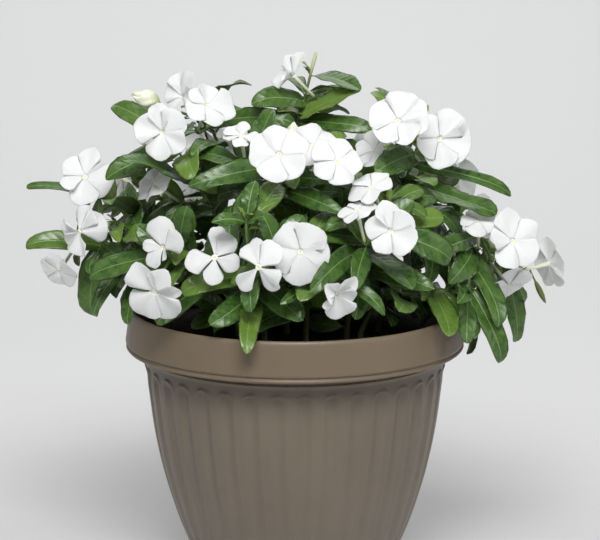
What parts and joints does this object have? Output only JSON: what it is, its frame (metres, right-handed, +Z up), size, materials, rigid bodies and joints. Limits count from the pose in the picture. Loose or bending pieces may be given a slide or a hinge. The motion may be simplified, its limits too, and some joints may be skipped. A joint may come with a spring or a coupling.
{
  "type": "potted madagascar periwinkle",
  "caption": "Full, domed Madagascar periwinkle with glossy green leaves and white five-petalled blooms, growing in a taupe planter with a fluted wall and a smooth banded rim.",
  "frame": {"origin": "centre of the planter's underside, on the plane that it stands on", "axes": "+Z up; -Y is the front that the picture shows, and +X is to its right"},
  "size_m": [0.3986, 0.2754, 0.3961],
  "materials": {
    "planter": "satin",
    "soil": "rough",
    "leaf": "satin",
    "petal": "matte",
    "bud": "matte"
  },
  "bodies": {
    "root": {"bloom_back_centre_1": "petal", "bloom_back_left_1": "petal", "bloom_back_mid_left_1": "petal", "bloom_back_mid_left_2": "petal", "bloom_back_mid_right_1": "petal", "bloom_back_mid_right_2": "petal", "bloom_back_right_1": "petal", "bloom_back_right_2": "petal", "bloom_centre_1": "petal", "bloom_centre_2": "petal", "bloom_centre_3": "petal", "bloom_centre_right_1": "petal", "bloom_centre_right_2": "petal", "bloom_centre_right_3": "petal", "bloom_far_right_1": "petal", "bloom_far_right_2": "petal", "bloom_front_left_1": "petal", "bloom_front_left_2": "petal", "bloom_front_mid_left_1": "petal", "bloom_front_mid_left_2": "petal", "bloom_front_mid_right_1": "petal", "bloom_front_mid_right_2": "petal", "bloom_left_low_1": "petal", "bloom_left_low_2": "petal", "bloom_left_top_1": "petal", "bloom_right_1": "petal", "bloom_right_2": "petal", "bloom_top_centre_1": "petal", "bloom_top_left_1": "petal", "bloom_top_left_2": "petal", "bloom_top_right_1": "petal", "bloom_top_right_2": "petal", "bloom_top_right_3": "petal", "bloom_upper_left_1": "petal", "bloom_upper_left_2": "petal", "bloom_upper_right_1": "petal", "bud_top_centre": "bud", "bud_top_left": "bud", "pot": "planter", "soil": "soil", "stem_back_centre": "leaf", "stem_back_left": "leaf", "stem_back_mid_left": "leaf", "stem_back_mid_right": "leaf", "stem_back_right": "leaf", "stem_centre": "leaf", "stem_centre_right": "leaf", "stem_far_right": "leaf", "stem_front_left": "leaf", "stem_front_mid_left": "leaf", "stem_front_mid_right": "leaf", "stem_left_low": "leaf", "stem_left_top": "leaf", "stem_right": "leaf", "stem_right_low": "leaf", "stem_top_centre": "leaf", "stem_top_left": "leaf", "stem_top_right": "leaf", "stem_upper_left": "leaf", "stem_upper_right": "leaf"}
  },
  "joints": []
}
